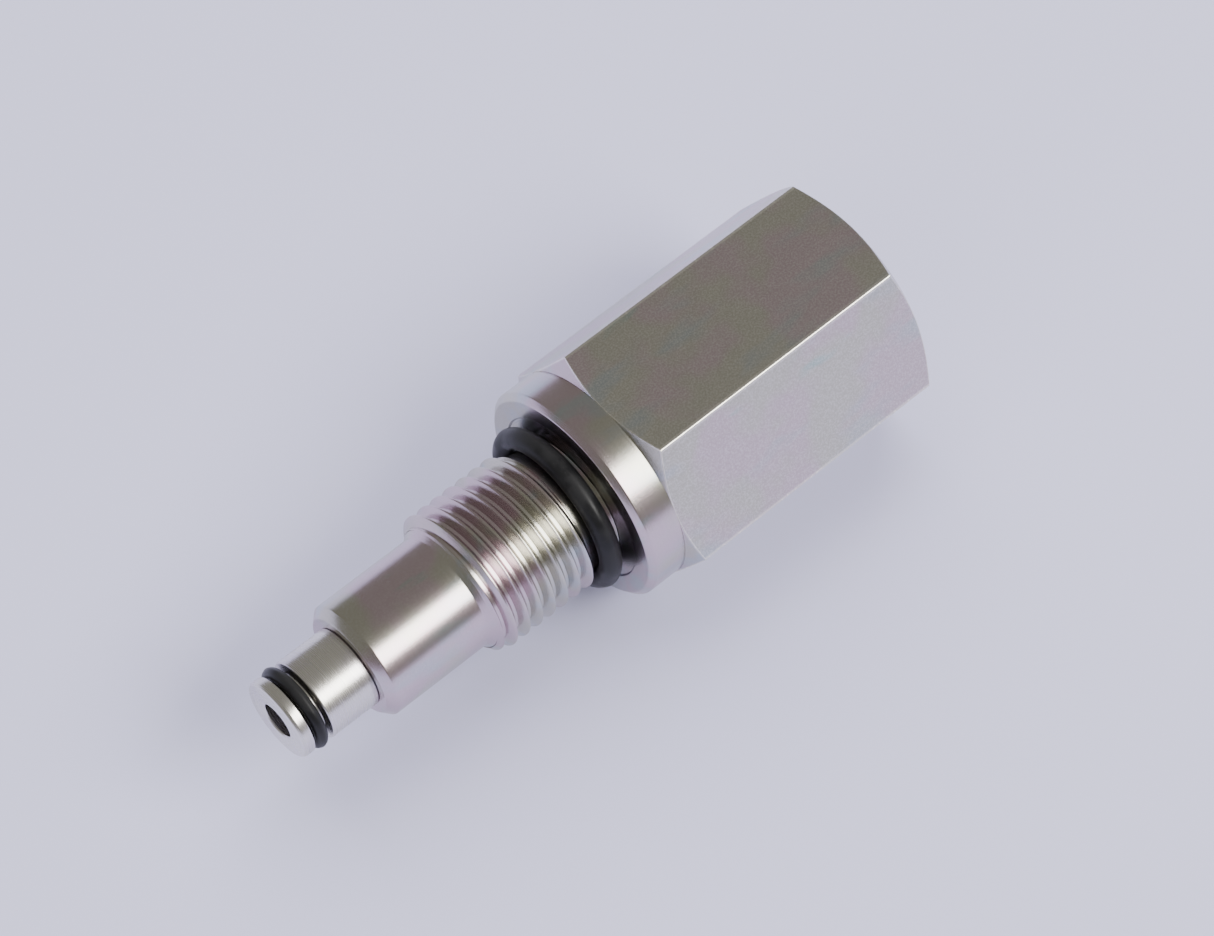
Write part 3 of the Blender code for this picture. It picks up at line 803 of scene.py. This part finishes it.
for name, (moving_body, ground_face, is_rear) in halves.items():
    half = bpy.data.objects.new(name, guide.copy())
    bpy.context.scene.collection.objects.link(half)
    only(half)
    bpy.ops.object.convert(target="MESH")
    bpy.ops.object.mode_set(mode="EDIT")
    for station, keeps_rear in ((middle, is_rear), (ground_face, not is_rear)):
        bpy.ops.mesh.select_all(action="SELECT")
        bpy.ops.mesh.bisect(
            plane_co=at(station),
            plane_no=(1, 0, 0),
            use_fill=True,
            clear_inner=keeps_rear,
            clear_outer=not keeps_rear,
            threshold=0.0001 * MM,
        )
    bpy.ops.mesh.select_all(action="SELECT")
    bpy.ops.mesh.remove_doubles(threshold=0.0005 * MM)
    bpy.ops.mesh.normals_make_consistent(inside=False)
    bpy.ops.object.mode_set(mode="OBJECT")
    smooth(half, 45)
    half.data.materials.clear()
    half.data.materials.append(spring_steel)
    at(middle)
    at(ground_face)
    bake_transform(half)
    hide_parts("main_spring")

# Spring button: two shims that set the preload, the rear spring seat, and a bearing ball in its pocket, on
# which the adjusting screw can turn without winding the spring.
SHIM = (2.55, 3.9, 0.3)
SHIM_FRONTS = (38.05, 38.40)
BUTTON = (36.6, 38.75, 40.25)
BUTTON_RADIUS = 4.03
BALL = 1.5
POCKET_FLOOR = 39.35

for number, front in enumerate(SHIM_FRONTS, start=1):
    rear = front + SHIM[2]
    corners = [(front, SHIM[0]), (front, SHIM[1]), (rear, SHIM[1]), (rear, SHIM[0])]
    shim = turn(f"shim_{number}", soften([(*corner, 0.05) for corner in corners]), closed=True)
    smooth(shim)
    place(shim, "spring_button", f"preload_shim_{number}", spring_steel)

outline = soften(
    [
        (BUTTON[0], 0),
        (BUTTON[0], 2.15, 0.2),
        (BUTTON[0] + 0.4, 2.4, 0.1),
        (BUTTON[1], 2.4, 0.1),
        (BUTTON[1], BUTTON_RADIUS, 0.12),
        (BUTTON[2], BUTTON_RADIUS, 0.12),
        (BUTTON[2], BALL + 0.12, 0.06),
        (POCKET_FLOOR + 0.5, BALL + 0.08, 0.4),
        (POCKET_FLOOR, 0.5, 0.3),
        (POCKET_FLOOR, 0),
    ]
)
button = turn("spring_button_turning", outline)
smooth(button)
place(button, "spring_button", "rear_spring_seat", hard_steel)

ball_middle = POCKET_FLOOR + 0.05 + BALL
outline = []
for step in range(33):
    angle = math.pi * step / 32
    outline.append((ball_middle - BALL * math.cos(angle), BALL * math.sin(angle)))
ball = turn("bearing_ball", outline, sides=64)
smooth(ball)
place(ball, "spring_button", "thrust_ball", hard_steel)

# End plug: zinc-plated steel, screwed down into the hexagon end and sealed in its bore. Two slots across its
# rear face take the pin spanner, and it carries the adjusting screw's thread and seal.
PLUG = (41.65, 48.45, 6.0)
PLUG_GROOVE = (43.35, 45.15, 5.0)
PLUG_THREAD = (45.7, 48.1)
HEAD_ROOM = (44.05, 3.7)
SEAL_BORE = (46.7, 3.05)
SCREW_BORE = 3.0
SPANNER_SLOT = (1.3, 1.0, 3.9)
SLOT_REACH = 4.0

corners = [
    (PLUG[0], HEAD_ROOM[1], 0.1),
    (PLUG[0], PLUG[2], 0.25),
    (PLUG_GROOVE[0], PLUG[2], 0.05),
    (PLUG_GROOVE[0], PLUG_GROOVE[2], 0.15),
    (PLUG_GROOVE[1], PLUG_GROOVE[2], 0.15),
    (PLUG_GROOVE[1], PLUG[2] - 0.1, 0.05),
    (PLUG_THREAD[0] - 0.2, PLUG[2] - 0.1),
    (PLUG_THREAD[0], PLUG[2] - 0.55),
    (PLUG_THREAD[1], PLUG[2] - 0.55),
    (PLUG[1], PLUG[2] - 0.6, 0.1),
    (PLUG[1], SCREW_BORE + 0.25, 0.05),
    (PLUG[1] - 0.25, SCREW_BORE),
    (SEAL_BORE[0] + 0.05, SCREW_BORE),
    (SEAL_BORE[0], SEAL_BORE[1]),
    (HEAD_ROOM[0], SEAL_BORE[1], 0.1),
    (HEAD_ROOM[0], HEAD_ROOM[1], 0.1),
]
plug = turn("end_plug_turning", soften(corners, 3), closed=True, sides=96)
ridge = thread_ridge("ridge", PLUG_THREAD[0] - 1, PLUG[1] + 1, 1.0, PLUG[2] - 0.55, PLUG[2], 0.12, 86)
form = [
    (PLUG_THREAD[0] + 0.02, 0),
    (PLUG_THREAD[0] + 0.02, PLUG[2] - 0.5),
    (PLUG_THREAD[0] + 0.5, PLUG[2] + 0.02),
    (PLUG_THREAD[1] - 0.2, PLUG[2] + 0.02),
    (PLUG[1] - 0.03, PLUG[2] - 0.45),
    (PLUG[1] - 0.03, 0),
]
combine(ridge, turn("form", form, sides=96), "INTERSECT")
combine(plug, ridge, "UNION")
slot_size = (2 * SPANNER_SLOT[1], SLOT_REACH, SPANNER_SLOT[0])
for side in (1, -1):
    slot = cutter("slot", PLUG[1], side * (SPANNER_SLOT[2] + SLOT_REACH / 2), 0, slot_size)
    combine(plug, slot, "DIFFERENCE")
smooth(plug)
place(plug, "housing", "end_plug", nut_steel)

# Adjusting screw: alloy steel, its head captive under the plug, its shank sealed, with a fine thread at the
# rear and a hexagon socket for the key that sets the relief pressure.
SCREW = (41.6, 53.1, 2.95)
SCREW_HEAD = (43.0, 3.6)
SCREW_GROOVE = (44.2, 45.7, 2.2)
SCREW_THREAD = (46.9, 0.5)
SOCKET = (3.0, 3.0)

corners = [
    (42.45, 0),
    (42.45, 0.8, 0.3),
    (42.0, 1.45, 0.3),
    (SCREW[0], 1.6, 0.08),
    (SCREW[0], SCREW_HEAD[1] - 0.15, 0.1),
    (SCREW[0] + 0.2, SCREW_HEAD[1], 0.08),
    (SCREW_HEAD[0], SCREW_HEAD[1], 0.1),
    (SCREW_HEAD[0], SCREW[2], 0.08),
    (SCREW_GROOVE[0], SCREW[2], 0.04),
    (SCREW_GROOVE[0], SCREW_GROOVE[2], 0.12),
    (SCREW_GROOVE[1], SCREW_GROOVE[2], 0.12),
    (SCREW_GROOVE[1], SCREW[2], 0.04),
    (SCREW_THREAD[0] - 0.3, SCREW[2]),
    (SCREW_THREAD[0], SCREW[2] - SCREW_THREAD[1]),
    (SCREW[1], SCREW[2] - SCREW_THREAD[1] - 0.05, 0.06),
    (SCREW[1], 0),
]
screw = turn("adjuster", soften(corners, 3), sides=96)
root = SCREW[2] - SCREW_THREAD[1]
ridge = thread_ridge("ridge", SCREW_THREAD[0] - 1, SCREW[1] + 1, 1.0, root, SCREW[2], 0.12, 86)
form = [
    (SCREW_THREAD[0] + 0.02, 0),
    (SCREW_THREAD[0] + 0.02, root),
    (SCREW_THREAD[0] + 0.5, SCREW[2] + 0.02),
    (SCREW[1] - 0.55, SCREW[2] + 0.02),
    (SCREW[1] - 0.03, root),
    (SCREW[1] - 0.03, 0),
]
combine(ridge, turn("form", form, sides=96), "INTERSECT")
combine(screw, ridge, "UNION")
key_hole = hexagon("key_hole", SOCKET[0], SCREW[1] - SOCKET[1], SCREW[1] + 1, 0)
combine(screw, key_hole, "DIFFERENCE")
mouth = [
    (SCREW[1] - 0.3, 0),
    (SCREW[1] - 0.3, SOCKET[0] / 2 - 0.05),
    (SCREW[1] + 0.2, SOCKET[0] / 2 + 0.42),
    (SCREW[1] + 0.2, 0),
]
combine(screw, turn("mouth", mouth, sides=96), "DIFFERENCE")
smooth(screw)
place(screw, "adjusting_screw", "adjusting_screw", hard_steel)

# Spring washer: a split ring of flattened spring wire, its cut ends left sharp. It lies loose under the
# lock nut, on the floor of the recess.
WASHER = (48.5, 49.2, 3.05, 4.95)
SPLIT = 1.0

corners = [
    (WASHER[0], WASHER[2], 0.06),
    (WASHER[0], WASHER[3], 0.1),
    (WASHER[1], WASHER[3], 0.1),
    (WASHER[1], WASHER[2], 0.06),
]
washer = turn("spring_washer", soften(corners), closed=True)
split = cutter("split", (WASHER[0] + WASHER[1]) / 2, (WASHER[2] + WASHER[3]) / 2, 0, (3, 3, SPLIT))
combine(washer, split, "DIFFERENCE")
smooth(washer)
place(washer, "lock_washer", "lock_washer", spring_steel)

# Lock nut: a thin hexagon nut, cut from bar, chamfered on both faces, threaded and zinc plated. It holds the
# adjusting screw where it was set.
NUT = (49.25, 52.25)
NUT_FLATS = 10.0
NUT_CORNER = NUT_FLATS / math.sqrt(3)

nut = hexagon("locking_nut", NUT_FLATS, NUT[0] - 0.1, NUT[1] + 0.1, 0.08)
past = NUT_CORNER + 0.2
drop = (past - NUT_FLATS / 2 + 0.2) * CHAMFER
form = [
    (NUT[0], SCREW_BORE + 0.3),
    (NUT[0], NUT_FLATS / 2 - 0.2),
    (NUT[0] + drop, past),
    (NUT[1] - drop, past),
    (NUT[1], NUT_FLATS / 2 - 0.2),
    (NUT[1], SCREW_BORE + 0.3),
    (NUT[1] - 0.3, SCREW_BORE),
    (NUT[0] + 0.3, SCREW_BORE),
]
combine(nut, turn("form", form, closed=True), "INTERSECT")
smooth(nut)
place(nut, "lock_nut", "lock_nut", nut_steel)
